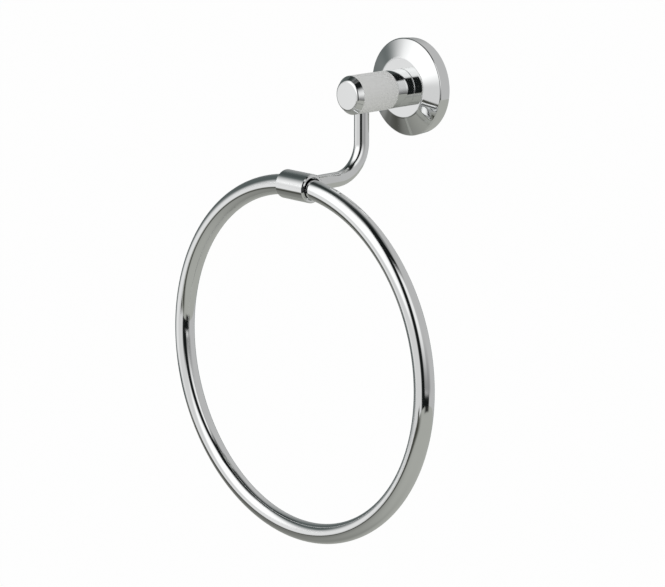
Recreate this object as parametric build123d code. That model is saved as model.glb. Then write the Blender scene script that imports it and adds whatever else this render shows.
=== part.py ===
from build123d import *
import os

# Towel ring: a chromed wall flange carries a round post, a bent rod hangs from the post
# and ends in a cross sleeve, and a closed ring of round bar swings loosely in that sleeve.
# Millimetres. The origin is on the wall plane at the post's axis, +X to the right when
# facing the wall, +Y into the wall and +Z up, so the object lies at negative Y.

# Wall flange, a hollow turned rose with a bevelled front and a flat seat for the post
FLANGE_FRONT_RADIUS = 24.8
FLANGE_RIM_DRAFT = 0.6
FLANGE_RIM_DEPTH = 6.8
FLANGE_SEAT_DEPTH = 10.2
FLANGE_SEAT_RADIUS = 15.0
FLANGE_SEAT_ROUND = 5.0
FLANGE_WALL = 3.0
FLANGE_EDGE_ROUND = 1.0

# Wall plate, screwed to the wall and hidden inside the flange
PLATE_THICKNESS = 5.0
PLATE_CLEARANCE = 0.3
PLATE_HEAD_HOLE_RADIUS = 7.0
WALL_SCREW_HOLE_RADIUS = 2.5
WALL_SCREW_SPACING = 28.0
GROOVE_DEPTH = 1.2

# Flange locking screw, a cone-point set screw at the lowest point of the rim
LOCK_SCREW_RADIUS = 1.5
LOCK_SCREW_RECESS = 0.4
LOCK_SCREW_SOCKET = 1.5
LOCK_SCREW_SOCKET_DEPTH = 1.5

# Post, its clamping screw and the set screw that holds the rod
NECK_RADIUS = 9.6
NECK_LENGTH = 11.2
NECK_FOOT_ROUND = 0.35
CORE_RADIUS = 7.0
POST_SCREW_RADIUS = 3.0
POST_SCREW_HEAD_RADIUS = 5.5
POST_SCREW_HEAD_HEIGHT = 3.4
POST_SCREW_LENGTH = 14.0
POST_SCREW_SOCKET = 4.0
POST_SCREW_SOCKET_DEPTH = 2.2
SET_SCREW_LENGTH = 8.0
SET_SCREW_SOCKET = 3.0
SET_SCREW_SOCKET_DEPTH = 3.0
SCREW_CLEARANCE = 0.1

# Barrel, the satin sleeve slid over the post's core, and the cap that closes its front
BARREL_RADIUS = 9.75
BARREL_LENGTH = 23.2
BARREL_EDGE_ROUND = 0.3
CAP_LENGTH = 3.1
CAP_BEVEL_INSET = 2.3
CAP_EDGE_ROUND = 1.8
CAP_SPIGOT_RADIUS = 5.5
CAP_SPIGOT_LENGTH = 2.4
SLIDE_CLEARANCE = 0.05

# Hanger rod, bent once from straight bar
ROD_RADIUS = 3.75
ROD_BEHIND_CAP = 7.1
ROD_TOP_ABOVE_AXIS = 3.6
ROD_DROP = 41.0
ROD_REACH = 42.0
ROD_BEND_RADIUS = 17.0
ROD_END_CHAMFER = 0.5
ROD_CLEARANCE = 0.05

# Cross sleeve at the rod's front end, and the ring that hangs in it
SLEEVE_RADIUS = 7.15
SLEEVE_LENGTH = 19.5
SLEEVE_EDGE_CHAMFER = 0.5
RING_RADIUS = 88.0
RING_BAR_RADIUS = 5.0
RING_SEAT_GAP = 0.3
RING_TOP_GAP = 0.4

# Places that follow from the sizes above, as distances out from the wall
NECK_END = FLANGE_SEAT_DEPTH + NECK_LENGTH
BARREL_END = NECK_END + BARREL_LENGTH
CAP_END = BARREL_END + CAP_LENGTH
ROD_FROM_WALL = BARREL_END - ROD_BEHIND_CAP
RING_FROM_WALL = ROD_FROM_WALL + ROD_REACH
FLANGE_BACK_RADIUS = FLANGE_FRONT_RADIUS - FLANGE_RIM_DRAFT
FLANGE_WEB_DEPTH = FLANGE_SEAT_DEPTH - FLANGE_WALL
CAVITY_RADIUS = FLANGE_BACK_RADIUS - FLANGE_WALL
CAVITY_TOP_RADIUS = FLANGE_SEAT_RADIUS - FLANGE_WALL / 2
CAVITY_RIM_DEPTH = PLATE_THICKNESS + PLATE_CLEARANCE
PLATE_RADIUS = CAVITY_RADIUS - PLATE_CLEARANCE
CAP_FACE_RADIUS = BARREL_RADIUS - CAP_BEVEL_INSET
GROOVE_RADIUS = PLATE_RADIUS - GROOVE_DEPTH
LOCK_SCREW_OUT = PLATE_THICKNESS / 2
SCREW_HOLE_RADIUS = POST_SCREW_RADIUS + SCREW_CLEARANCE
ROD_REAR = ROD_FROM_WALL - ROD_RADIUS

# The ring's bar is bowed inside the straight sleeve, so the bore leaves room for that bow
BAR_BOW = RING_RADIUS - (RING_RADIUS**2 - (SLEEVE_LENGTH / 2) ** 2) ** 0.5
SLEEVE_BORE_RADIUS = RING_BAR_RADIUS + (BAR_BOW + RING_SEAT_GAP + RING_TOP_GAP) / 2
RING_TOP_RISE = SLEEVE_BORE_RADIUS - RING_BAR_RADIUS - RING_TOP_GAP


def turned(*outline):
    """Turn a closed outline of (radius, distance out from the wall) about the post's axis."""
    profile = Polyline([(radius, -out) for radius, out in outline], close=True)
    return revolve(make_face(profile), Axis.Y)


def rod_along_post(radius, start, end):
    """A round bar on the post's axis between two distances out from the wall."""
    return turned((0, start), (radius, start), (radius, end), (0, end))


def edges_at(solid, radius, out):
    """The round edges of a turned piece at a radius and a distance out from the wall."""
    tolerance = 0.001
    rings = solid.edges().filter_by(GeomType.CIRCLE)
    at_place = rings.filter_by(lambda edge: abs(edge.arc_center.Y + out) < tolerance)
    return at_place.filter_by(lambda edge: abs(edge.radius - radius) < tolerance)


def hex_socket(across_flats, start, depth):
    """A hexagonal key socket on the post's axis, cut outwards from a distance off the wall."""
    sketch = RegularPolygon(across_flats / 2, 6, major_radius=False)
    return extrude(Plane((0, -start, 0), z_dir=(0, -1, 0)) * sketch, depth)


def upright(radius, bottom, top, out):
    """A vertical round bar at a distance out from the wall."""
    base = Plane((0, -out, bottom), z_dir=(0, 0, 1))
    return extrude(base * Circle(radius), top - bottom)


def across(radius, length):
    """A round bar along X, centred where the ring passes through the cross sleeve."""
    return Pos(0, -RING_FROM_WALL, -ROD_DROP) * Rot(0, 90, 0) * Cylinder(radius, length)


def make_wall_plate():
    """A round plate with two wall screw holes and a square vee groove round its edge."""
    plate = turned(
        (PLATE_HEAD_HOLE_RADIUS, 0),
        (PLATE_RADIUS, 0),
        (PLATE_RADIUS, LOCK_SCREW_OUT - GROOVE_DEPTH),
        (GROOVE_RADIUS, LOCK_SCREW_OUT),
        (PLATE_RADIUS, LOCK_SCREW_OUT + GROOVE_DEPTH),
        (PLATE_RADIUS, PLATE_THICKNESS),
        (PLATE_HEAD_HOLE_RADIUS, PLATE_THICKNESS),
    )
    back_face = Plane((0, 0, 0), x_dir=(1, 0, 0), z_dir=(0, -1, 0))
    for place in GridLocations(WALL_SCREW_SPACING, 0, 2, 1):
        plate -= extrude(back_face * place * Circle(WALL_SCREW_HOLE_RADIUS), PLATE_THICKNESS)
    return plate


def make_wall_flange():
    """The hollow rose: drafted rim, bevel rolling into a flat seat, and a hole low in the rim."""
    flange = turned(
        (CAVITY_RADIUS, 0),
        (FLANGE_BACK_RADIUS, 0),
        (FLANGE_FRONT_RADIUS, FLANGE_RIM_DEPTH),
        (FLANGE_SEAT_RADIUS, FLANGE_SEAT_DEPTH),
        (SCREW_HOLE_RADIUS, FLANGE_SEAT_DEPTH),
        (SCREW_HOLE_RADIUS, FLANGE_WEB_DEPTH),
        (CAVITY_TOP_RADIUS, FLANGE_WEB_DEPTH),
        (CAVITY_RADIUS, CAVITY_RIM_DEPTH),
    )
    flange = fillet(edges_at(flange, FLANGE_FRONT_RADIUS, FLANGE_RIM_DEPTH), FLANGE_EDGE_ROUND)
    flange = fillet(edges_at(flange, FLANGE_SEAT_RADIUS, FLANGE_SEAT_DEPTH), FLANGE_SEAT_ROUND)
    hole_radius = LOCK_SCREW_RADIUS + SLIDE_CLEARANCE
    return flange - upright(hole_radius, -FLANGE_FRONT_RADIUS, -GROOVE_RADIUS, LOCK_SCREW_OUT)


def make_flange_lock_screw():
    """A set screw standing upright in the rim, its cone point in the wall plate's groove."""
    tip = -(GROOVE_RADIUS + SCREW_CLEARANCE)
    foot = -(FLANGE_BACK_RADIUS - LOCK_SCREW_RECESS)
    shoulder = tip - LOCK_SCREW_RADIUS
    corners = [(0, tip), (LOCK_SCREW_RADIUS, shoulder), (LOCK_SCREW_RADIUS, foot), (0, foot)]
    screw = revolve(Plane.XZ * make_face(Polyline(corners, close=True)), Axis.Z)
    sketch = RegularPolygon(LOCK_SCREW_SOCKET / 2, 6, major_radius=False)
    socket = extrude(Plane((0, 0, foot), z_dir=(0, 0, 1)) * sketch, LOCK_SCREW_SOCKET_DEPTH)
    return Pos(0, -LOCK_SCREW_OUT, 0) * (screw - socket)


def make_post():
    """The neck and the core in one turned piece, bored for its two screws, the rod and the cap."""
    post = turned(
        (0, FLANGE_SEAT_DEPTH),
        (NECK_RADIUS, FLANGE_SEAT_DEPTH),
        (NECK_RADIUS, NECK_END),
        (CORE_RADIUS, NECK_END),
        (CORE_RADIUS, BARREL_END),
        (0, BARREL_END),
    )
    post = fillet(edges_at(post, NECK_RADIUS, FLANGE_SEAT_DEPTH), NECK_FOOT_ROUND)
    screw_bore = rod_along_post(SCREW_HOLE_RADIUS, FLANGE_SEAT_DEPTH, ROD_FROM_WALL)
    cap_bore = rod_along_post(
        CAP_SPIGOT_RADIUS + SLIDE_CLEARANCE,
        BARREL_END - CAP_SPIGOT_LENGTH - SLIDE_CLEARANCE,
        BARREL_END,
    )
    rod_bore = upright(
        ROD_RADIUS + ROD_CLEARANCE,
        -BARREL_RADIUS,
        ROD_TOP_ABOVE_AXIS + ROD_CLEARANCE,
        ROD_FROM_WALL,
    )
    return post - screw_bore - cap_bore - rod_bore


def make_post_screw():
    """The socket-head screw that clamps the post to the flange from inside the cavity."""
    head_start = FLANGE_WEB_DEPTH - POST_SCREW_HEAD_HEIGHT
    head = rod_along_post(POST_SCREW_HEAD_RADIUS, head_start, FLANGE_WEB_DEPTH)
    shank = rod_along_post(POST_SCREW_RADIUS, FLANGE_WEB_DEPTH, FLANGE_WEB_DEPTH + POST_SCREW_LENGTH)
    return head + shank - hex_socket(POST_SCREW_SOCKET, head_start, POST_SCREW_SOCKET_DEPTH)


def make_rod_set_screw():
    """The set screw deep in the post's bore, pressing on the back of the rod."""
    tip = ROD_REAR - SLIDE_CLEARANCE
    start = tip - SET_SCREW_LENGTH
    screw = rod_along_post(POST_SCREW_RADIUS, start, tip)
    return screw - hex_socket(SET_SCREW_SOCKET, start, SET_SCREW_SOCKET_DEPTH)


def make_barrel():
    """The satin sleeve over the core, its rear edge rounded, drilled below for the rod."""
    bore_radius = CORE_RADIUS + SLIDE_CLEARANCE
    barrel = turned(
        (bore_radius, NECK_END),
        (BARREL_RADIUS, NECK_END),
        (BARREL_RADIUS, BARREL_END),
        (bore_radius, BARREL_END),
    )
    barrel = fillet(edges_at(barrel, BARREL_RADIUS, NECK_END), BARREL_EDGE_ROUND)
    return barrel - upright(ROD_RADIUS + ROD_CLEARANCE, -BARREL_RADIUS, 0, ROD_FROM_WALL)


def make_end_cap():
    """The bevelled front cap, its face edge rounded, held by a short wide spigot in the post."""
    cap = turned(
        (0, BARREL_END - CAP_SPIGOT_LENGTH),
        (CAP_SPIGOT_RADIUS, BARREL_END - CAP_SPIGOT_LENGTH),
        (CAP_SPIGOT_RADIUS, BARREL_END),
        (BARREL_RADIUS, BARREL_END),
        (CAP_FACE_RADIUS, CAP_END),
        (0, CAP_END),
    )
    return fillet(edges_at(cap, CAP_FACE_RADIUS, CAP_END), CAP_EDGE_ROUND)


def make_hanger_rod():
    """Round bar from the post, bent forwards, its end coped to sit on the cross sleeve."""
    top = Vector(0, -ROD_FROM_WALL, ROD_TOP_ABOVE_AXIS)
    corner = Vector(0, -ROD_FROM_WALL, -ROD_DROP)
    front = Vector(0, -RING_FROM_WALL, -ROD_DROP)
    path = FilletPolyline(top, corner, front, radius=ROD_BEND_RADIUS)
    bar = sweep(Plane(top, z_dir=(0, 0, -1)) * Circle(ROD_RADIUS), path)
    top_edge = bar.edges().sort_by(Axis.Z)[-1]
    bar = chamfer(top_edge, ROD_END_CHAMFER)
    return bar - across(SLEEVE_RADIUS, SLEEVE_LENGTH)


def make_ring_sleeve():
    """A short tube across the rod's end, with broken edges, in which the ring swings."""
    sleeve = across(SLEEVE_RADIUS, SLEEVE_LENGTH) - across(SLEEVE_BORE_RADIUS, SLEEVE_LENGTH)
    outer_edges = sleeve.edges().filter_by(GeomType.CIRCLE).filter_by(
        lambda edge: edge.radius > SLEEVE_BORE_RADIUS + SLEEVE_EDGE_CHAMFER / 2
    )
    return chamfer(outer_edges, SLEEVE_EDGE_CHAMFER)


def make_ring():
    """The closed ring of round bar, hanging parallel to the wall with its top in the sleeve."""
    centre_height = RING_TOP_RISE - ROD_DROP - RING_RADIUS
    return Pos(0, -RING_FROM_WALL, centre_height) * Rot(90, 0, 0) * Torus(RING_RADIUS, RING_BAR_RADIUS)


PIECES = {
    "wall_plate": make_wall_plate(),
    "wall_flange": make_wall_flange(),
    "flange_lock_screw": make_flange_lock_screw(),
    "post": make_post(),
    "post_screw": make_post_screw(),
    "rod_set_screw": make_rod_set_screw(),
    "barrel": make_barrel(),
    "end_cap": make_end_cap(),
    "hanger_rod": make_hanger_rod(),
    "ring_sleeve": make_ring_sleeve(),
    "ring": make_ring(),
}

os.makedirs("parts", exist_ok=True)
for name, solid in PIECES.items():
    export_step(solid, f"parts/{name}.step")
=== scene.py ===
import bmesh
import bpy
import numpy as np
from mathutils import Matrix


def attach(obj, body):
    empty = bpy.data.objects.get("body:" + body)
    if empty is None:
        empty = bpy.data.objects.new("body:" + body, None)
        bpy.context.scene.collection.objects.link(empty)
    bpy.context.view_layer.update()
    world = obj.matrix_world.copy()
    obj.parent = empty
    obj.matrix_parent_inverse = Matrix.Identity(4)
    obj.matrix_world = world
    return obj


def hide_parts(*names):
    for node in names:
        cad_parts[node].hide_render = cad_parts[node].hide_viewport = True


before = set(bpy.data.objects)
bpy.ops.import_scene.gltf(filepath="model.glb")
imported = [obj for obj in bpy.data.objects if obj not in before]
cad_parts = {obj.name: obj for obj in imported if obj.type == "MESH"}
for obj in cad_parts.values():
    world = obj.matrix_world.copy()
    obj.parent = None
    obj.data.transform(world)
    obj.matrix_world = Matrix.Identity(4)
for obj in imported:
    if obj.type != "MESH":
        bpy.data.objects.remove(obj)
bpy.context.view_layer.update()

# Wall plate. A round steel plate, turned with a vee groove round its edge, drilled for two wall
# screws and bright zinc plated. It goes on the wall first, and the flange is pushed over it.
MM = 0.001
MERGE_DISTANCE_MM = 0.0001
PLATE_CREASE_DEG = 20.0
ZINC_GRAIN_MM = 2.0
ZINC_TURNING_MM = 0.6
# The rings of a wave texture repeat about every 0.3 / scale
WAVE_REPEAT = 0.3


def linear(hex_colour):
    """An sRGB hex colour as linear red, green, blue and an alpha of one."""
    srgb = np.array([int(hex_colour[i:i + 2], 16) for i in (1, 3, 5)]) / 255
    rgb = np.where(srgb <= 0.04045, srgb / 12.92, ((srgb + 0.055) / 1.055) ** 2.4)
    return (*rgb.tolist(), 1.0)


def add_node(tree, kind, inputs=None, **settings):
    """Add a node, set its own properties, and give each input a value or link it to an output."""
    node = tree.nodes.new(kind)
    for name, value in settings.items():
        setattr(node, name, value)
    for name, value in (inputs or {}).items():
        if isinstance(value, bpy.types.NodeSocket):
            tree.links.new(value, node.inputs[name])
        else:
            node.inputs[name].default_value = value
    return node


def new_material(name):
    """An empty node material."""
    material = bpy.data.materials.new(name)
    material.use_nodes = True
    material.node_tree.nodes.clear()
    return material


def zinc_plated_steel():
    """Bright zinc plating on turned steel: a cool grey, half-bright metal with faint turning lines
    round the axis and a cloudy change of tone where the plating took unevenly."""
    material = new_material("bright_zinc_plated_steel")
    tree = material.node_tree
    where = add_node(tree, "ShaderNodeTexCoord").outputs["Object"]
    cloud = add_node(
        tree, "ShaderNodeTexNoise",
        {"Vector": where, "Scale": 1 / (ZINC_GRAIN_MM * MM), "Detail": 3.0},
    )
    tone = add_node(
        tree, "ShaderNodeMix",
        {0: cloud.outputs["Fac"], 6: linear("#a7adb5"), 7: linear("#c6c8c9")},
        data_type="RGBA",
    )
    rough = add_node(
        tree, "ShaderNodeMapRange",
        {"Value": cloud.outputs["Fac"], "From Min": 0.3, "From Max": 0.7, "To Min": 0.24, "To Max": 0.38},
    )
    lines = add_node(
        tree, "ShaderNodeTexWave",
        {"Vector": where, "Scale": WAVE_REPEAT / (ZINC_TURNING_MM * MM), "Distortion": 0.6, "Detail": 2.0},
        wave_type="RINGS", rings_direction="Y",
    )
    bump = add_node(
        tree, "ShaderNodeBump",
        {"Height": lines.outputs["Fac"], "Strength": 0.25, "Distance": 0.02 * MM},
    )
    steel = add_node(
        tree, "ShaderNodeBsdfPrincipled",
        {
            "Base Color": tone.outputs[2],
            "Metallic": 1.0,
            "Roughness": rough.outputs["Result"],
            "Normal": bump.outputs["Normal"],
        },
    )
    add_node(tree, "ShaderNodeOutputMaterial", {"Surface": steel.outputs["BSDF"]})
    return material


def merged_copy(node_name, piece_name):
    """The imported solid's own mesh with its loose triangles joined, smooth except at its creases."""
    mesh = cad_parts[node_name].data.copy()
    work = bmesh.new()
    work.from_mesh(mesh)
    bmesh.ops.remove_doubles(work, verts=work.verts, dist=MERGE_DISTANCE_MM * MM)
    work.to_mesh(mesh)
    work.free()
    mesh.materials.clear()
    mesh.shade_smooth()
    mesh.set_sharp_from_angle(angle=np.radians(PLATE_CREASE_DEG))
    piece = bpy.data.objects.new(piece_name, mesh)
    bpy.context.scene.collection.objects.link(piece)
    return piece


zinc = zinc_plated_steel()
plate = merged_copy("wall_plate", "grooved_wall_plate")
plate.data.materials.append(zinc)
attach(plate, "bracket")
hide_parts("wall_plate")

# Wall flange. A hollow rose turned from brass, with a drafted rim, a bevelled front and a flat seat
# for the post, then polished and chrome plated. A small set screw hole is drilled low in its rim.
# Sizes of this piece and of those that follow are in millimetres.
FLANGE_FRONT_RADIUS = 24.8
FLANGE_BACK_RADIUS = 24.2
FLANGE_RIM_DEPTH = 6.8
FLANGE_SEAT_DEPTH = 10.2
FLANGE_SEAT_RADIUS = 15.0
FLANGE_SEAT_ROUND = 5.0
FLANGE_WALL = 3.0
CAVITY_RIM_DEPTH = 5.3
CAVITY_ROUND = 0.4
FLANGE_EDGE_ROUND = 1.0
BROKEN_EDGE = 0.12
SCREW_HOLE_RADIUS = 3.1
LOCK_HOLE_OUT = 2.5
LOCK_HOLE_RADIUS = 1.55
LOCK_PATCH_HALF = 2.0
HOLE_LIP = 0.1
LIP_RINGS = 8
FLANGE_TURNS = 480
LOCK_PATCH_TURNS = 16
LOCK_PATCH_ROWS = 12
CHROME_CLOUD_MM = 22.0
CHROME_BUFF_MM = 0.8
CHROME_RIPPLE_MM = 9.0


def polished_chrome():
    """Bright chrome plating on polished brass: a near mirror of almost neutral colour, with buffing
    haze that varies its gloss and a faint long ripple left by the polishing mop."""
    material = new_material("bright_chrome_plated_brass")
    tree = material.node_tree
    where = add_node(tree, "ShaderNodeTexCoord").outputs["Object"]
    cloud = add_node(tree, "ShaderNodeTexNoise", {"Vector": where, "Scale": 1 / (CHROME_CLOUD_MM * MM)})
    tone = add_node(
        tree, "ShaderNodeMix",
        {0: cloud.outputs["Fac"], 6: linear("#e6e7e7"), 7: linear("#edeeee")},
        data_type="RGBA",
    )
    buff = add_node(
        tree, "ShaderNodeTexNoise",
        {"Vector": where, "Scale": 1 / (CHROME_BUFF_MM * MM), "Detail": 4.0, "Distortion": 0.8},
    )
    rough = add_node(
        tree, "ShaderNodeMapRange",
        {"Value": buff.outputs["Fac"], "From Min": 0.3, "From Max": 0.7, "To Min": 0.035, "To Max": 0.065},
    )
    ripple = add_node(tree, "ShaderNodeTexNoise", {"Vector": where, "Scale": 1 / (CHROME_RIPPLE_MM * MM)})
    bump = add_node(
        tree, "ShaderNodeBump",
        {"Height": ripple.outputs["Fac"], "Strength": 0.3, "Distance": 0.03 * MM},
    )
    plating = add_node(
        tree, "ShaderNodeBsdfPrincipled",
        {
            "Base Color": tone.outputs[2],
            "Metallic": 1.0,
            "Roughness": rough.outputs["Result"],
            "Normal": bump.outputs["Normal"],
        },
    )
    add_node(tree, "ShaderNodeOutputMaterial", {"Surface": plating.outputs["BSDF"]})
    return material


def unit(vectors):
    """Vectors scaled to a length of one."""
    return vectors / np.linalg.norm(vectors, axis=-1, keepdims=True)


def rounded_outline(corners, rounds, marks=None, arc_steps=8, closed=True):
    """An outline of (radius, out) corners, anticlockwise, with an arc in place of each corner.

    Where the outline turns by an angle at a corner, the arc starts round * tan(angle / 2) before it,
    its centre lies one round to the side, and the surface's normal turns evenly along it. marks adds
    points at given distances out on the edge after a corner. An open outline keeps its two ends.
    Returns the points, their normals, and for each marked edge the row of its first added point.
    """
    corners = np.array(corners, float)
    rounds = np.array(rounds, float)
    ahead = unit(np.roll(corners, -1, 0) - corners)
    behind = np.roll(ahead, 1, 0)
    turn = np.arctan2(
        behind[:, 0] * ahead[:, 1] - behind[:, 1] * ahead[:, 0],
        (behind * ahead).sum(1),
    )
    start = corners - behind * (rounds * np.tan(np.abs(turn) / 2))[:, None]
    along_arc = np.linspace(0, 1, arc_steps + 1)
    angle = np.arctan2(-behind[:, 0], behind[:, 1])[:, None] + turn[:, None] * along_arc
    normal = np.stack([np.cos(angle), np.sin(angle)], -1)
    lean = (np.sign(turn) * rounds)[:, None, None] * normal
    arc = start[:, None] - lean[:, :1] + lean
    points, normals, first_rows, row = [], [], {}, 0
    for i in range(len(corners)):
        if not closed and i in (0, len(corners) - 1):
            edge = ahead[i] if i == 0 else behind[i]
            points.append(corners[i:i + 1])
            normals.append(np.array([[edge[1], -edge[0]]]))
        else:
            points.append(arc[i])
            normals.append(normal[i])
        row += len(points[-1])
        if marks and i in marks:
            out = np.array(marks[i], float)[:, None]
            share = (out - corners[i, 1]) / ahead[i, 1]
            points.append(corners[i] + share * ahead[i])
            normals.append(np.repeat(normals[-1][-1:], len(out), 0))
            first_rows[i] = row
            row += len(out)
    return np.concatenate(points), np.concatenate(normals), first_rows


# An axis is its origin, the direction out along it, and the two directions across it
POST_AXIS = np.array([(0, 0, 0), (0, -1, 0), (1, 0, 0), (0, 0, 1)], float)


def turned(outline, axis, angles):
    """An outline turned about an axis: origin + out * along + radius * (cos * side + sin * up)."""
    origin, along, side, up = axis
    ring = np.cos(angles)[:, None] * side + np.sin(angles)[:, None] * up
    radius, out = outline[:, 0], outline[:, 1]
    return origin + out[:, None, None] * along + radius[:, None, None] * ring


def loop_quads(loops):
    """The quads that join each closed loop of point numbers, a row of the array, to the next one."""
    onward = np.roll(loops, -1, 1)
    return np.stack([loops[:-1], onward[:-1], onward[1:], loops[1:]], -1).reshape(-1, 4)


def grid_quads(rows, columns, join_rows=True):
    """The quads of a grid whose columns close round, and whose rows do too if they are joined."""
    loops = np.arange(rows * columns).reshape(rows, columns)
    if join_rows:
        loops = np.concatenate([loops, loops[:1]])
    return loop_quads(loops)


def add_mesh(name, points, faces, normals=None):
    """A mesh object in metres from points in millimetres, faces outwards, unused points dropped."""
    points = np.asarray(points, float).reshape(-1, 3)
    used = np.unique(np.concatenate([np.ravel(f) for f in faces]))
    number = np.zeros(len(points), int)
    number[used] = np.arange(len(used))
    lists = [face for f in faces for face in number[np.asarray(f)].tolist()]
    mesh = bpy.data.meshes.new(name)
    mesh.from_pydata((points[used] * MM).tolist(), [], lists)
    work = bmesh.new()
    work.from_mesh(mesh)
    bmesh.ops.recalc_face_normals(work, faces=work.faces)
    work.to_mesh(mesh)
    work.free()
    mesh.shade_smooth()
    if normals is not None:
        directions = unit(np.asarray(normals).reshape(-1, 3)[used])
        mesh.normals_split_custom_set_from_vertices(directions.tolist())
    piece = bpy.data.objects.new(name, mesh)
    bpy.context.scene.collection.objects.link(piece)
    return piece


def drilled_piece(name, outline, normals, turns, patch_turns, walls, hole_out, hole_radius):
    """A turned piece with one round hole drilled straight up through its lowest side.

    On each of the two walls, whose lowest rows and row steps are given, a rectangle of the turned grid
    is left open. Rings of points shrink from its border to the hole's lip, plan = lip + share * (border
    - lip), and lie on the wall at height -sqrt(radius^2 - x^2). A tube joins the two lips.
    """
    columns = np.arange(turns)
    angles = -np.pi / 2 + 2 * np.pi * (columns - patch_turns / 2) / turns
    points = turned(outline, POST_AXIS, angles).reshape(-1, 3)
    directions = turned(normals, POST_AXIS, angles).reshape(-1, 3)
    keep = np.ones((len(outline), turns), bool)
    all_points, all_normals, faces, lips = [points], [directions], [], []
    count = len(points)
    across = np.arange(patch_turns)
    turn_of_lip = None
    for rows in walls:
        keep[min(rows):max(rows), :patch_turns] = False
        border = np.concatenate([
            rows[0] * turns + across,
            rows[:-1] * turns + patch_turns,
            rows[-1] * turns + patch_turns - across,
            rows[:0:-1] * turns,
        ])
        edge = points[border]
        plan = np.stack([edge[:, 0], -edge[:, 1]], -1)
        if turn_of_lip is None:
            turn_of_lip = np.arctan2(plan[:, 1] - hole_out, plan[:, 0])
        spoke = np.stack([np.cos(turn_of_lip), np.sin(turn_of_lip)], -1)
        lip = (0, hole_out) + (hole_radius + HOLE_LIP) * spoke
        share = np.linspace(1, 0, LIP_RINGS + 1)[1:, None, None]
        ring = lip + share * (plan - lip)
        order = np.argsort(outline[rows, 1])
        radius = np.interp(ring[..., 1], outline[rows, 1][order], outline[rows, 0][order])
        height = -np.sqrt(radius ** 2 - ring[..., 0] ** 2)
        wall_normal = normals[rows[1]]
        all_points.append(np.stack([ring[..., 0], -ring[..., 1], height], -1).reshape(-1, 3))
        tilt = wall_normal[0] / radius
        flat = np.full_like(radius, -wall_normal[1])
        all_normals.append(np.stack([tilt * ring[..., 0], flat, tilt * height], -1).reshape(-1, 3))
        rings = count + np.arange(height.size).reshape(height.shape)
        faces.append(loop_quads(np.concatenate([border[None], rings])))
        count += height.size
        lips.append((rings[-1], height[-1]))
    bore = hole_radius * spoke
    for (lip, height), step in zip(lips, (HOLE_LIP, -HOLE_LIP)):
        wall = np.stack([bore[:, 0], -hole_out - bore[:, 1], height + step], -1)
        all_points.append(wall)
        all_normals.append(np.stack([-spoke[:, 0], spoke[:, 1], 0 * height], -1))
    outer, inner = count + np.arange(2 * len(spoke)).reshape(2, -1)
    tube = loop_quads(np.stack([lips[0][0], outer, inner, lips[1][0]]))
    outside = grid_quads(len(outline), turns)[keep.ravel()]
    return add_mesh(name, np.concatenate(all_points), [outside, *faces, tube], np.concatenate(all_normals))


chrome = polished_chrome()
web_depth = FLANGE_SEAT_DEPTH - FLANGE_WALL
cavity_radius = FLANGE_BACK_RADIUS - FLANGE_WALL
lock_rows = LOCK_HOLE_OUT + LOCK_PATCH_HALF * np.linspace(-1, 1, LOCK_PATCH_ROWS + 1)
outline, normals, first_rows = rounded_outline(
    [
        (cavity_radius, 0),
        (FLANGE_BACK_RADIUS, 0),
        (FLANGE_FRONT_RADIUS, FLANGE_RIM_DEPTH),
        (FLANGE_SEAT_RADIUS, FLANGE_SEAT_DEPTH),
        (SCREW_HOLE_RADIUS, FLANGE_SEAT_DEPTH),
        (SCREW_HOLE_RADIUS, web_depth),
        (FLANGE_SEAT_RADIUS - FLANGE_WALL / 2, web_depth),
        (cavity_radius, CAVITY_RIM_DEPTH),
    ],
    [
        BROKEN_EDGE, BROKEN_EDGE, FLANGE_EDGE_ROUND, FLANGE_SEAT_ROUND,
        BROKEN_EDGE, BROKEN_EDGE, CAVITY_ROUND, CAVITY_ROUND,
    ],
    marks={1: lock_rows, 7: lock_rows[::-1]},
)
rim_rows = first_rows[1] + np.arange(LOCK_PATCH_ROWS + 1)
cavity_rows = first_rows[7] + np.arange(LOCK_PATCH_ROWS + 1)[::-1]
flange = drilled_piece(
    "wall_flange_rose", outline, normals, FLANGE_TURNS, LOCK_PATCH_TURNS,
    (rim_rows, cavity_rows), LOCK_HOLE_OUT, LOCK_HOLE_RADIUS,
)
flange.data.materials.append(chrome)
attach(flange, "bracket")
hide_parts("wall_flange")

# Flange locking screw. A small steel set screw with a cone point and a hexagon socket, turned up
# through the rim until its point enters the plate's groove, so that the flange can't come off.
LOCK_SCREW_RADIUS = 1.5
LOCK_SCREW_PITCH = 0.5
LOCK_SCREW_TIP = 19.8
LOCK_SCREW_FOOT = 23.8
LOCK_SCREW_SOCKET = 1.5
LOCK_SCREW_SOCKET_DEPTH = 1.5
LOCK_SCREW_EDGE = 0.2
SCREW_COLUMNS = 72
SCREW_CREASE_DEG = 40.0
THREAD_ROWS_PER_PITCH = 12
THREAD_DEPTH_SHARE = 0.55


def end_fans(rows, columns):
    """The triangles that close a grid's first and last rows at two poles, numbered after its points."""
    loops = np.arange(rows * columns).reshape(rows, columns)[[0, -1]]
    poles = np.repeat(rows * columns + np.arange(2), columns).reshape(2, columns)
    return np.stack([loops, np.roll(loops, -1, 1), poles], -1).reshape(-1, 3)


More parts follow.
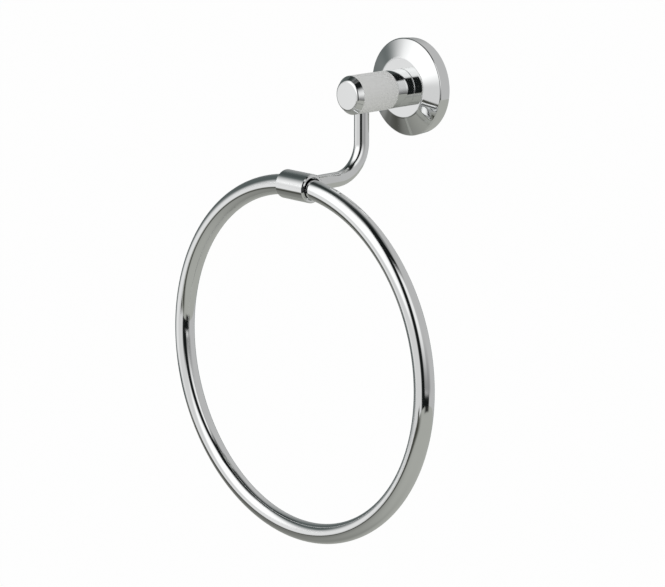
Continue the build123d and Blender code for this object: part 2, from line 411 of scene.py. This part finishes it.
def threaded_screw(name, axis, radius, pitch, tip, shoulder, thread_end, head, socket):
    """A screw turned about an axis, with a vee thread and a hexagon key socket.

    From its shoulder to thread_end the radius loses depth * wave, where the wave rises and falls once
    a pitch, moves on by one pitch a turn and runs out over one pitch at either end. head lists the
    (radius, out) corners past the thread, and socket is (width across flats, mouth, floor), whose
    radius is half the width / cos of the angle to the nearest flat.
    """
    angles = 2 * np.pi * np.arange(SCREW_COLUMNS) / SCREW_COLUMNS
    steps = int(abs(thread_end - shoulder) / pitch * THREAD_ROWS_PER_PITCH)
    shank = np.linspace(shoulder, thread_end, steps + 1)
    step = np.arange(steps + 1)
    run_out = np.clip(np.minimum(step, steps - step) / THREAD_ROWS_PER_PITCH, 0, 1)
    phase = shank[:, None] / pitch + angles / (2 * np.pi)
    wave = np.abs(2 * (phase % 1) - 1)
    thread = radius - THREAD_DEPTH_SHARE * pitch * run_out[:, None] * wave
    flats, mouth, floor = socket
    hexagon = flats / 2 / np.cos((angles + np.pi / 6) % (np.pi / 3) - np.pi / 6)
    plain = np.array(head, float)
    radii = np.concatenate([thread, plain[:, :1] + 0 * angles, hexagon[None], hexagon[None]])
    outs = np.concatenate([shank, plain[:, 1], [mouth, floor]])
    origin, along, side, up = axis
    ring = np.cos(angles)[:, None] * side + np.sin(angles)[:, None] * up
    points = origin + outs[:, None, None] * along + radii[..., None] * ring
    poles = np.stack([origin + tip * along, origin + floor * along])
    quads = grid_quads(len(outs), SCREW_COLUMNS, join_rows=False)
    fans = end_fans(len(outs), SCREW_COLUMNS)
    piece = add_mesh(name, np.concatenate([points.reshape(-1, 3), poles]), [quads, fans])
    piece.data.set_sharp_from_angle(angle=np.radians(SCREW_CREASE_DEG))
    return piece


lock_axis = np.array([(0, -LOCK_HOLE_OUT, 0), (0, 0, -1), (1, 0, 0), (0, 1, 0)], float)
lock_screw = threaded_screw(
    "flange_lock_set_screw", lock_axis, LOCK_SCREW_RADIUS, LOCK_SCREW_PITCH,
    LOCK_SCREW_TIP, LOCK_SCREW_TIP + LOCK_SCREW_RADIUS, LOCK_SCREW_FOOT - LOCK_SCREW_EDGE,
    [(LOCK_SCREW_RADIUS - LOCK_SCREW_EDGE, LOCK_SCREW_FOOT)],
    (LOCK_SCREW_SOCKET, LOCK_SCREW_FOOT, LOCK_SCREW_FOOT - LOCK_SCREW_SOCKET_DEPTH),
)
lock_screw.data.materials.append(zinc)
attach(lock_screw, "bracket")
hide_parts("flange_lock_screw")

# Post. The bright neck that stands on the flange's seat and, in one piece with it, the core that
# the barrel slides over. Turned from brass bar, bored for its screws and the rod, chrome plated.
NECK_FOOT_ROUND = 0.35
NECK_INSIDE_RADIUS = 9.0
OUTWARD_SHARE = 0.2


def true_neck_normals(piece):
    """Give the neck and the small round at its foot their exact normals, so that they mirror cleanly.

    On the neck the normal points away from the axis. On the round it leans to the wall by the share
    (round's centre - out) / round. A corner belongs to them if its triangle faces away from the axis.
    """
    mesh = piece.data
    vertex = np.empty(len(mesh.loops), int)
    place = np.empty(len(mesh.vertices) * 3)
    normals = np.empty(len(mesh.loops) * 3)
    faces = np.empty(len(mesh.polygons) * 3)
    mesh.loops.foreach_get("vertex_index", vertex)
    mesh.vertices.foreach_get("co", place)
    mesh.corner_normals.foreach_get("vector", normals)
    mesh.polygon_normals.foreach_get("vector", faces)
    place = place.reshape(-1, 3)[vertex] / MM
    normals = normals.reshape(-1, 3)
    away = unit(place * (1, 0, 1))
    facing = (np.repeat(faces.reshape(-1, 3), 3, 0) * away).sum(1)
    lean = np.clip((FLANGE_SEAT_DEPTH + NECK_FOOT_ROUND + place[:, 1]) / NECK_FOOT_ROUND, 0, 1)[:, None]
    exact = away * np.sqrt(1 - lean ** 2) + lean * (0, 1, 0)
    outside = (np.hypot(place[:, 0], place[:, 2]) > NECK_INSIDE_RADIUS) & (facing > OUTWARD_SHARE)
    mesh.normals_split_custom_set(np.where(outside[:, None], exact, normals).tolist())


post = merged_copy("post", "post_neck_and_core")
true_neck_normals(post)
post.data.materials.append(chrome)
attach(post, "bracket")
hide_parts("post")

# Post screw and rod set screw. Zinc-plated steel screws on the post's axis: a socket-head screw
# clamps the post to the flange from inside, and a set screw deep in its bore presses on the rod.
POST_SCREW_RADIUS = 3.0
POST_SCREW_PITCH = 1.0
POST_SCREW_HEAD_RADIUS = 5.5
POST_SCREW_HEAD_HEIGHT = 3.4
POST_SCREW_LENGTH = 14.0
POST_SCREW_SOCKET = 4.0
POST_SCREW_SOCKET_DEPTH = 2.2
SET_SCREW_TIP = 33.7
SET_SCREW_LENGTH = 8.0
SET_SCREW_SOCKET = 3.0
SET_SCREW_SOCKET_DEPTH = 3.0
SCREW_EDGE = 0.4
head_start = web_depth - POST_SCREW_HEAD_HEIGHT
post_screw_tip = web_depth + POST_SCREW_LENGTH
post_screw = threaded_screw(
    "post_clamp_screw", POST_AXIS, POST_SCREW_RADIUS, POST_SCREW_PITCH,
    post_screw_tip, post_screw_tip, web_depth + SCREW_EDGE,
    [
        (POST_SCREW_RADIUS, web_depth),
        (POST_SCREW_HEAD_RADIUS, web_depth),
        (POST_SCREW_HEAD_RADIUS, head_start + SCREW_EDGE),
        (POST_SCREW_HEAD_RADIUS - SCREW_EDGE, head_start),
    ],
    (POST_SCREW_SOCKET, head_start, head_start + POST_SCREW_SOCKET_DEPTH),
)
set_screw_start = SET_SCREW_TIP - SET_SCREW_LENGTH
set_screw = threaded_screw(
    "rod_grip_set_screw", POST_AXIS, POST_SCREW_RADIUS, POST_SCREW_PITCH,
    SET_SCREW_TIP, SET_SCREW_TIP, set_screw_start + SCREW_EDGE,
    [(POST_SCREW_RADIUS - SCREW_EDGE, set_screw_start)],
    (SET_SCREW_SOCKET, set_screw_start, set_screw_start + SET_SCREW_SOCKET_DEPTH),
)
for piece, node in ((post_screw, "post_screw"), (set_screw, "rod_set_screw")):
    piece.data.materials.append(zinc)
    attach(piece, "bracket")
    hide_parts(node)

# Barrel. A brass sleeve slid over the post's core, a hair wider than the neck, its rear edge lightly
# broken and its underside drilled for the rod. It is fine-blasted before plating, so it is satin.
NECK_END = 21.4
BARREL_END = 44.6
BARREL_RADIUS = 9.75
BARREL_BORE_RADIUS = 7.05
BARREL_EDGE_ROUND = 0.3
ROD_FROM_WALL = 37.5
ROD_HOLE_RADIUS = 3.8
ROD_PATCH_HALF = 5.4
ROD_PATCH_ROWS = 24
BARREL_TURNS = 240
ROD_PATCH_TURNS = 66
BLAST_GRAIN_MM = 0.35
BLAST_CLOUD_MM = 5.0


def satin_chrome():
    """Chrome over a fine-blasted surface: a pale neutral metal whose tiny dents scatter its light so
    much that it is set as only partly metallic. The grain is drawn coarser than real blasting so that
    it shows."""
    material = new_material("satin_chrome_on_blasted_brass")
    tree = material.node_tree
    where = add_node(tree, "ShaderNodeTexCoord").outputs["Object"]
    grain = add_node(
        tree, "ShaderNodeTexNoise",
        {"Vector": where, "Scale": 1 / (BLAST_GRAIN_MM * MM), "Detail": 3.0, "Roughness": 0.6},
    )
    cloud = add_node(tree, "ShaderNodeTexNoise", {"Vector": where, "Scale": 1 / (BLAST_CLOUD_MM * MM)})
    tone = add_node(
        tree, "ShaderNodeMix",
        {0: grain.outputs["Fac"], 6: linear("#eeefee"), 7: linear("#f3f3f2")},
        data_type="RGBA",
    )
    rough = add_node(
        tree, "ShaderNodeMapRange",
        {"Value": cloud.outputs["Fac"], "From Min": 0.3, "From Max": 0.7, "To Min": 0.7, "To Max": 0.78},
    )
    bump = add_node(
        tree, "ShaderNodeBump",
        {"Height": grain.outputs["Fac"], "Strength": 0.03, "Distance": 0.02 * MM},
    )
    plating = add_node(
        tree, "ShaderNodeBsdfPrincipled",
        {
            "Base Color": tone.outputs[2],
            "Metallic": 0.6,
            "Roughness": rough.outputs["Result"],
            "Normal": bump.outputs["Normal"],
        },
    )
    add_node(tree, "ShaderNodeOutputMaterial", {"Surface": plating.outputs["BSDF"]})
    return material


rod_rows = ROD_FROM_WALL + ROD_PATCH_HALF * np.linspace(-1, 1, ROD_PATCH_ROWS + 1)
outline, normals, first_rows = rounded_outline(
    [
        (BARREL_BORE_RADIUS, NECK_END),
        (BARREL_RADIUS, NECK_END),
        (BARREL_RADIUS, BARREL_END),
        (BARREL_BORE_RADIUS, BARREL_END),
    ],
    [BROKEN_EDGE, BARREL_EDGE_ROUND, BROKEN_EDGE, BROKEN_EDGE],
    marks={1: rod_rows, 3: rod_rows[::-1]},
)
outer_rows = first_rows[1] + np.arange(ROD_PATCH_ROWS + 1)
bore_rows = first_rows[3] + np.arange(ROD_PATCH_ROWS + 1)[::-1]
barrel = drilled_piece(
    "satin_barrel", outline, normals, BARREL_TURNS, ROD_PATCH_TURNS,
    (outer_rows, bore_rows), ROD_FROM_WALL, ROD_HOLE_RADIUS,
)
barrel.data.materials.append(satin_chrome())
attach(barrel, "bracket")
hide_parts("barrel")

# End cap. A bright turned brass cap, bevelled and rounded to its flat face, chrome plated and pressed
# into the post by its spigot, so that it closes the barrel's front end flush.
CAP_END = 47.7
CAP_BEVEL_INSET = 2.3
CAP_EDGE_ROUND = 1.8
CAP_SPIGOT_RADIUS = 5.5
CAP_SPIGOT_LENGTH = 2.4
CAP_RIM_ROUND = 0.05
CAP_ARC_STEPS = 24
CAP_TURNS = 240


def turned_solid(name, outline, normals, axis, turns):
    """A turned piece whose outline starts and ends on the axis, closed there with a fan of triangles."""
    angles = 2 * np.pi * np.arange(turns) / turns
    middle = turned(outline[1:-1], axis, angles).reshape(-1, 3)
    directions = turned(normals[1:-1], (0 * axis[0], *axis[1:]), angles).reshape(-1, 3)
    ends = axis[0] + outline[[0, -1], 1:] * axis[1]
    end_directions = normals[[0, -1], 1:] * axis[1]
    rows = len(outline) - 2
    return add_mesh(
        name,
        np.concatenate([middle, ends]),
        [grid_quads(rows, turns, join_rows=False), end_fans(rows, turns)],
        np.concatenate([directions, end_directions]),
    )


outline, normals, _ = rounded_outline(
    [
        (0, BARREL_END - CAP_SPIGOT_LENGTH),
        (CAP_SPIGOT_RADIUS, BARREL_END - CAP_SPIGOT_LENGTH),
        (CAP_SPIGOT_RADIUS, BARREL_END),
        (BARREL_RADIUS, BARREL_END),
        (BARREL_RADIUS - CAP_BEVEL_INSET, CAP_END),
        (0, CAP_END),
    ],
    [0, BROKEN_EDGE, BROKEN_EDGE, CAP_RIM_ROUND, CAP_EDGE_ROUND, 0],
    arc_steps=CAP_ARC_STEPS,
    closed=False,
)
cap = turned_solid("barrel_end_cap", outline, normals, POST_AXIS, CAP_TURNS)
cap.data.materials.append(chrome)
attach(cap, "bracket")
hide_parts("end_cap")

# Hanger rod. Round brass bar, chamfered at its top where the set screw holds it in the post, bent
# once to run forwards, and coped at its front end to sit round the cross sleeve, where it is brazed.
ROD_RADIUS = 3.75
ROD_TOP = 3.6
ROD_CHAMFER = 0.5
ROD_DROP = 41.0
ROD_BEND_RADIUS = 17.0
RING_FROM_WALL = 79.5
SLEEVE_RADIUS = 7.15
COPE_SHARES = (1.0, 0.8, 0.5, 0.2)
ROD_COLUMNS = 128
ROD_BEND_STEPS = 64


def hanger_rod():
    """A circle carried down, round a quarter bend and forwards.

    A point is centre(s) + radius * (cos a * across + sin a * outwards(s)), where across is +X and
    outwards turns from the back of the upright to the underside of the forward run. The last rings,
    at shares of the radius, lie on the sleeve: out = sleeve axis - sqrt(sleeve radius^2 - height^2).
    """
    angles = 2 * np.pi * np.arange(ROD_COLUMNS) / ROD_COLUMNS
    bend = np.linspace(0, np.pi / 2, ROD_BEND_STEPS + 1)
    upright = np.array([(ROD_TOP, ROD_RADIUS - ROD_CHAMFER), (ROD_TOP - ROD_CHAMFER, ROD_RADIUS)])
    outs = np.concatenate([[ROD_FROM_WALL] * 2, ROD_FROM_WALL + ROD_BEND_RADIUS * (1 - np.cos(bend))])
    heights = np.concatenate([upright[:, 0], ROD_BEND_RADIUS * (1 - np.sin(bend)) - ROD_DROP])
    radii = np.concatenate([upright[:, 1], np.full(len(bend), ROD_RADIUS)])
    slope = np.concatenate([[0, 0], bend])
    across, outwards = np.cos(angles), np.sin(angles)
    side = radii[:, None] * outwards
    points = np.stack([
        radii[:, None] * across,
        -(outs[:, None] - side * np.cos(slope)[:, None]),
        heights[:, None] - side * np.sin(slope)[:, None],
    ], -1)
    normals = np.stack([
        across + 0 * side,
        outwards * np.cos(slope)[:, None],
        -outwards * np.sin(slope)[:, None],
    ], -1)
    share = np.array(COPE_SHARES)[:, None]
    lift = -share * ROD_RADIUS * outwards
    cope_out = RING_FROM_WALL - np.sqrt(SLEEVE_RADIUS ** 2 - lift ** 2)
    cope = np.stack([share * ROD_RADIUS * across, -cope_out, lift - ROD_DROP], -1)
    forwards = np.tile((0.0, -1.0, 0.0), (len(COPE_SHARES) - 1, ROD_COLUMNS, 1))
    normals = np.concatenate([normals, normals[-1:], forwards])
    points = np.concatenate([points, cope])
    rows = len(points)
    ends = np.array([(0, -ROD_FROM_WALL, ROD_TOP), (0, SLEEVE_RADIUS - RING_FROM_WALL, -ROD_DROP)])
    return add_mesh(
        "bent_hanger_rod",
        np.concatenate([points.reshape(-1, 3), ends]),
        [grid_quads(rows, ROD_COLUMNS, join_rows=False), end_fans(rows, ROD_COLUMNS)],
        np.concatenate([normals.reshape(-1, 3), [(0, 0, 1), (0, -1, 0)]]),
    )


rod = hanger_rod()
rod.data.materials.append(chrome)
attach(rod, "bracket")
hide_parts("hanger_rod")

# Cross sleeve. A short brass tube brazed across the rod's end, its edges chamfered, polished and
# plated with the rod. The ring runs loosely through its bore.
SLEEVE_LENGTH = 19.5
SLEEVE_CHAMFER = 0.5
SLEEVE_CHAMFER_EDGE = 0.06
SLEEVE_BORE_RADIUS = 5.62
SLEEVE_TURNS = 240
half_length = SLEEVE_LENGTH / 2
outline, normals, _ = rounded_outline(
    [
        (SLEEVE_BORE_RADIUS, -half_length),
        (SLEEVE_RADIUS - SLEEVE_CHAMFER, -half_length),
        (SLEEVE_RADIUS, SLEEVE_CHAMFER - half_length),
        (SLEEVE_RADIUS, half_length - SLEEVE_CHAMFER),
        (SLEEVE_RADIUS - SLEEVE_CHAMFER, half_length),
        (SLEEVE_BORE_RADIUS, half_length),
    ],
    [BROKEN_EDGE, *[SLEEVE_CHAMFER_EDGE] * 4, BROKEN_EDGE],
)
sleeve_axis = np.array([(0, -RING_FROM_WALL, -ROD_DROP), (1, 0, 0), (0, 1, 0), (0, 0, 1)], float)
sleeve_angles = 2 * np.pi * np.arange(SLEEVE_TURNS) / SLEEVE_TURNS
sleeve = add_mesh(
    "ring_cross_sleeve",
    turned(outline, sleeve_axis, sleeve_angles),
    [grid_quads(len(outline), SLEEVE_TURNS)],
    turned(normals, (0 * sleeve_axis[0], *sleeve_axis[1:]), sleeve_angles),
)
sleeve.data.materials.append(chrome)
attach(sleeve, "bracket")
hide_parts("ring_sleeve")

# Ring. Round brass bar bent to a full circle through the sleeve, its ends brazed and the joint
# polished away, then chrome plated. It hangs loosely, so it swings in the sleeve.
RING_RADIUS = 88.0
RING_BAR_RADIUS = 5.0
RING_TOP_RISE = 0.22
RING_TURNS = 720
BAR_TURNS = 96


def towel_ring():
    """A torus: centre + (ring radius + bar radius * cos b) * (cos a, sin a) in X and Z, and bar
    radius * sin b along Y."""
    a = 2 * np.pi * np.arange(RING_TURNS)[:, None] / RING_TURNS
    b = 2 * np.pi * np.arange(BAR_TURNS)[None] / BAR_TURNS
    normals = np.stack([np.cos(b) * np.cos(a), np.sin(b) + 0 * a, np.cos(b) * np.sin(a)], -1)
    centre_line = np.stack([np.cos(a) + 0 * b, 0 * a + 0 * b, np.sin(a) + 0 * b], -1)
    centre = np.array([0, -RING_FROM_WALL, RING_TOP_RISE - ROD_DROP - RING_RADIUS])
    points = centre + RING_RADIUS * centre_line + RING_BAR_RADIUS * normals
    return add_mesh("round_bar_ring", points, [grid_quads(RING_TURNS, BAR_TURNS)], normals)


ring = towel_ring()
ring.data.materials.append(chrome)
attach(ring, "swinging_ring")
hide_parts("ring")

# Studio. A pale floor far below, a white world, one soft lamp overhead for the floor's shadow, and
# cards and flags near and far round the object, which only reflections show. Sizes are in metres.
FLOOR_HEIGHT = -4.0
FLOOR_HALF = 60.0
FLOOR_SHADOW_SHARE = 0.04
FLOOR_FIBRE_MM = 8.3
STUDIO_CENTRE = np.array([0.0, -0.06, -0.12])
NEAR_DISTANCE = 0.8
FAR_DISTANCE = 11.0
CARD_SPACING = 0.006
CARD_STEPS = 96


def seen_directly(tree):
    """One for rays from the camera, from a mirror or through glass, and zero for soft light."""
    path = add_node(tree, "ShaderNodeLightPath").outputs
    either = add_node(
        tree, "ShaderNodeMath",
        {0: path["Is Camera Ray"], 1: path["Is Glossy Ray"]},
        operation="MAXIMUM",
    )
    every = add_node(
        tree, "ShaderNodeMath",
        {0: either.outputs[0], 1: path["Is Transmission Ray"]},
        operation="MAXIMUM",
    )
    return every.outputs[0]


def pale_floor():
    """Pale matt paper: white where it is seen, with a share of its own lit colour for the shadow. Its
    fibre is drawn coarser than real paper's."""
    material = new_material("pale_paper_floor")
    tree = material.node_tree
    where = add_node(tree, "ShaderNodeTexCoord").outputs["Object"]
    fibre = add_node(
        tree, "ShaderNodeTexNoise",
        {"Vector": where, "Scale": 1 / (FLOOR_FIBRE_MM * MM), "Detail": 3.0},
    )
    tone = add_node(
        tree, "ShaderNodeMix",
        {0: fibre.outputs["Fac"], 6: linear("#f4f4f2"), 7: linear("#f8f8f6")},
        data_type="RGBA",
    )
    paper = add_node(tree, "ShaderNodeBsdfDiffuse", {"Color": tone.outputs[2]})
    white = add_node(tree, "ShaderNodeEmission", {"Strength": 1.0})
    share = add_node(
        tree, "ShaderNodeMath",
        {0: seen_directly(tree), 1: 1 - FLOOR_SHADOW_SHARE},
        operation="MULTIPLY",
    )
    mix = add_node(
        tree, "ShaderNodeMixShader",
        {0: share.outputs[0], 1: paper.outputs[0], 2: white.outputs[0]},
    )
    add_node(tree, "ShaderNodeOutputMaterial", {"Surface": mix.outputs[0]})
    return material


def reflected_card(name, points, cover, tone, colour):
    """A glowing sheet on a grid of points, which only reflections show. cover is its opacity, which
    fades it out towards its edges, and tone is its brightness."""
    number = np.arange(cover.size).reshape(cover.shape)
    quads = np.stack([number[:-1, :-1], number[:-1, 1:], number[1:, 1:], number[1:, :-1]], -1)
    mesh = bpy.data.meshes.new(name)
    mesh.from_pydata(points.reshape(-1, 3).tolist(), [], quads.reshape(-1, 4).tolist())
    for label, values in (("cover", cover), ("tone", tone)):
        layer = mesh.attributes.new(label, "FLOAT", "POINT")
        layer.data.foreach_set("value", np.broadcast_to(values, cover.shape).astype(np.float32).ravel())
    material = new_material(name)
    tree = material.node_tree
    amount = add_node(tree, "ShaderNodeAttribute", attribute_name="cover").outputs["Fac"]
    strength = add_node(tree, "ShaderNodeAttribute", attribute_name="tone").outputs["Fac"]
    glow = add_node(tree, "ShaderNodeEmission", {"Color": linear(colour), "Strength": strength})
    clear = add_node(tree, "ShaderNodeBsdfTransparent")
    mix = add_node(tree, "ShaderNodeMixShader", {0: amount, 1: clear.outputs[0], 2: glow.outputs[0]})
    add_node(tree, "ShaderNodeOutputMaterial", {"Surface": mix.outputs[0]})
    material.cycles.emission_sampling = "NONE"
    mesh.materials.append(material)
    sheet = bpy.data.objects.new(name, mesh)
    bpy.context.scene.collection.objects.link(sheet)
    sheet.visible_camera = False
    sheet.visible_diffuse = False
    sheet.visible_shadow = False
    return sheet


def fade(values, start, end):
    """One inside a range of angles, easing to zero over the given feather at either end of it."""
    inside = np.ones_like(values)
    for distance, feather in ((values - values[0], start), (values[-1] - values, end)):
        if feather:
            share = np.clip(distance / feather, 0, 1)
            inside = inside * share * share * (3 - 2 * share)
    return inside


def sphere_card(name, distance, azimuth, elevation, feather, tone, colour):
    """A card on a sphere round the object: azimuth from straight out of the wall towards +X,
    elevation above the horizon, both in degrees, with a feather at each of its four edges."""
    az = np.linspace(*azimuth, CARD_STEPS)
    el = np.linspace(*elevation, CARD_STEPS)
    cover = fade(el, *feather[2:])[:, None] * fade(az, *feather[:2])[None]
    az, el = np.radians(az)[None], np.radians(el)[:, None]
    direction = np.stack([np.sin(az) * np.cos(el), -np.cos(az) * np.cos(el), np.sin(el) + 0 * az], -1)
    points = STUDIO_CENTRE + np.reshape(distance, (1, -1, 1)) * direction
    return reflected_card(name, points, cover, tone, colour)


floor_mesh = bpy.data.meshes.new("pale_floor")
floor_corners = [
    (-FLOOR_HALF, -FLOOR_HALF, FLOOR_HEIGHT),
    (FLOOR_HALF, -FLOOR_HALF, FLOOR_HEIGHT),
    (FLOOR_HALF, FLOOR_HALF, FLOOR_HEIGHT),
    (-FLOOR_HALF, FLOOR_HALF, FLOOR_HEIGHT),
]
floor_mesh.from_pydata(floor_corners, [], [(0, 1, 2, 3)])
floor_mesh.materials.append(pale_floor())
floor = bpy.data.objects.new("pale_floor", floor_mesh)
bpy.context.scene.collection.objects.link(floor)

# Each card's name, azimuths, elevations, feathers at its edges, brightness and colour. In each list
# the first stands nearest. The far ones stand round the edge of the ground sheet.
NEAR_CARDS = (
    ("low_left_glow", (-92, -34), (-18, 20), (28, 8, 4, 25), 0.88, "#ffffff"),
    ("low_shade_right", (50, 125), (-16, 22), (8, 30, 6, 34), 0.3, "#ffffff"),
    ("front_softbox", (-56, 20), (2, 66), (20, 12, 14, 20), 1.25, "#ffffff"),
    ("low_dark_line_near", (-84, 40), (-30, -20.2), (18, 40, 6, 1.5), 0.06, "#fdffea"),
)
FAR_CARDS = (
    ("low_left_flag", (-118, -80), (-28, -13), (16, 10, 0, 6), 0.1, "#edfffd"),
    ("camera_side_flag_foot", (14, 50), (-28, 8), (14, 10, 0, 18), 0.012, "#edfffd"),
    ("low_dark_gap_right", (22, 106), (-28, -11), (8, 10, 0, 5), 0.01, "#edfffd"),
    ("low_dark_line_front", (-19, 1), (-28, -17.2), (6, 6, 0, 1), 0.06, "#fdffea"),
    ("overhead_flag_right", (0, 120), (45, 90), (30, 20, 15, 0), 0.012, "#edfffd"),
    ("overhead_flag_left", (-128, -68), (36, 90), (22, 20, 16, 0), 0.04, "#edfffd"),
    ("overhead_flag", (-180, 180), (51, 90), (0, 0, 27, 0), 0.03, "#edfffd"),
    ("back_dark_card", (-168, -95), (-28, 4), (14, 14, 0, 12), 0.18, "#edfffd"),
    ("left_dark_card", (-158, -44), (-28, 75), (50, 30, 0, 0), 0.13, "#edfffd"),
    ("pale_side_wall", (77, 252), (-28, 75), (16, 20, 0, 10), 0.55, "#ffffff"),
    ("low_front_card", (-58, 26), (-28, 14), (10, 4, 0, 10), 0.74, "#ffffff"),
)
for first, cards in ((NEAR_DISTANCE, NEAR_CARDS), (FAR_DISTANCE, FAR_CARDS)):
    for number, (name, *card) in enumerate(cards):
        sphere_card(name, first + number * CARD_SPACING, *card)

# A dark flag between the camera and the object slants towards the object at its right end
FLAG_DISTANCES = (0.78, 0.45)
slant = np.linspace(*FLAG_DISTANCES, CARD_STEPS)
sphere_card("camera_side_flag", slant, (20, 62.5), (-18, 90), (11, 10, 3, 0), 0.012, "#edfffd")

# The ground sheet is a mid grey that grows lighter outwards, except on the left. Further out it has
# a shade on the left and a dark edge on the right. Places on it are an azimuth with the half width
# round it, in degrees, and the share of the radius where something starts, with its run.
GROUND_HEIGHT = -3.95
GROUND_RADIUS = 10.4
GROUND_GREY = 0.35
GROUND_GAIN = 0.1
GROUND_GAIN_RUN = 0.12
LEFT_LOSS = 0.2
LEFT_AZIMUTH = (-75, 50)
SHADE_LOSS = 0.12
SHADE_AZIMUTH = (-68, 26)
SHADE_START = (0.38, 0.3)
EDGE_LOSS = 0.95
EDGE_AZIMUTH = (80, 24)
EDGE_START = (0.82, 0.05)


def swell(azimuth, centre, half_width, power):
    """A smooth rise to one round an azimuth: exp(-((azimuth - centre) / half width)^power)."""
    return np.exp(-((azimuth - centre) / half_width) ** power)


def ramp(share, start, run):
    """Zero up to a start, one past its run, and a straight line between them."""
    return np.clip((share - start) / run, 0, 1)


reach = np.linspace(0, GROUND_RADIUS, CARD_STEPS)[:, None]
turn = np.linspace(-np.pi, np.pi, CARD_STEPS)[None]
ground = np.stack([
    reach * np.sin(turn),
    STUDIO_CENTRE[1] - reach * np.cos(turn),
    np.full((CARD_STEPS, CARD_STEPS), GROUND_HEIGHT),
], -1)
share = reach / GROUND_RADIUS
azimuth = np.degrees(turn)
gain = GROUND_GAIN - LEFT_LOSS * swell(azimuth, *LEFT_AZIMUTH, 2)
shade = swell(azimuth, *SHADE_AZIMUTH, 2) * ramp(share, *SHADE_START)
dark_edge = swell(azimuth, *EDGE_AZIMUTH, 4) * ramp(share, *EDGE_START)
grey = GROUND_GREY + gain * (1 - np.exp(-share / GROUND_GAIN_RUN)) - SHADE_LOSS * shade
ground_tone = grey * (1 - EDGE_LOSS * dark_edge)
reflected_card("ground_sheet", ground, np.ones((CARD_STEPS, CARD_STEPS)), ground_tone, "#fdfff7")

LAMP_SIZE = 1.2
LAMP_WATTS = 6.0
LAMP_PLACE = (-0.3, -0.6, 1.6)
lamp_data = bpy.data.lights.new("overhead_softbox", "AREA")
lamp_data.shape = "SQUARE"
lamp_data.size = LAMP_SIZE
lamp_data.energy = LAMP_WATTS
lamp = bpy.data.objects.new("overhead_softbox", lamp_data)
lamp.location = LAMP_PLACE
lamp.visible_glossy = False
bpy.context.scene.collection.objects.link(lamp)

WORLD_WHITE = linear("#ffffff")
WORLD_SOFT_LIGHT = 0.8
world = bpy.data.worlds.new("white_studio")
world.use_nodes = True
world.node_tree.nodes.clear()
soft_light = add_node(
    world.node_tree, "ShaderNodeBackground",
    {"Color": WORLD_WHITE, "Strength": WORLD_SOFT_LIGHT},
)
white = add_node(world.node_tree, "ShaderNodeBackground", {"Color": WORLD_WHITE, "Strength": 1.0})
backdrop = add_node(
    world.node_tree, "ShaderNodeMixShader",
    {0: seen_directly(world.node_tree), 1: soft_light.outputs[0], 2: white.outputs[0]},
)
add_node(world.node_tree, "ShaderNodeOutputWorld", {"Surface": backdrop.outputs[0]})
bpy.context.scene.world = world
bpy.context.scene.view_settings.view_transform = "Standard"

# Camera. It stands to the right of the object and a little above it, at the photograph's angle.
CAMERA_PLACE = (1.0775, -1.05875, 0.24671)
CAMERA_YAW_DEG = 47.092
CAMERA_PITCH_DEG = 13.207
CAMERA_LENS_MM = 164.07
camera_data = bpy.data.cameras.new("photo_camera")
camera_data.lens = CAMERA_LENS_MM
camera = bpy.data.objects.new("photo_camera", camera_data)
camera.location = CAMERA_PLACE
camera.rotation_euler = (np.radians(90 - CAMERA_PITCH_DEG), 0, np.radians(CAMERA_YAW_DEG))
bpy.context.scene.collection.objects.link(camera)
bpy.context.scene.camera = camera
